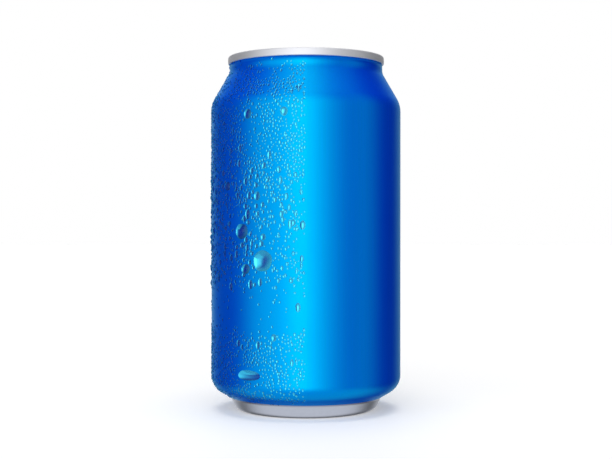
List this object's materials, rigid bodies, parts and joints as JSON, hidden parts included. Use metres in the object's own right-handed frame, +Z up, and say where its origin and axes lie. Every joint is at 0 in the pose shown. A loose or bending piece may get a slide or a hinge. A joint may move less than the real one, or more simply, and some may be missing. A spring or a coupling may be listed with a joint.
{
  "type": "soda can",
  "caption": "Shut blue drinks can with a necked shoulder, bare metal seam, recessed lid with a pull tab, and a domed base on a standing ring.",
  "frame": {"origin": "centre of the base, on the surface that the can stands on", "axes": "+Z up along the can; -Y is the front, where the pour opening lies; +X is the viewer's right"},
  "size_m": [0.066, 0.066, 0.1227],
  "materials": {
    "blue_lacquer": "satin translucent blue lacquer over drawn aluminium, bare below the lower cone",
    "lid_aluminium": "bright clear-coated sheet with a fine rolled grain",
    "tab_aluminium": "bright plain sheet with curled edges"
  },
  "bodies": {
    "root": {"can_body": "blue_lacquer", "can_lid": "lid_aluminium", "pull_tab": "tab_aluminium"}
  },
  "joints": []
}
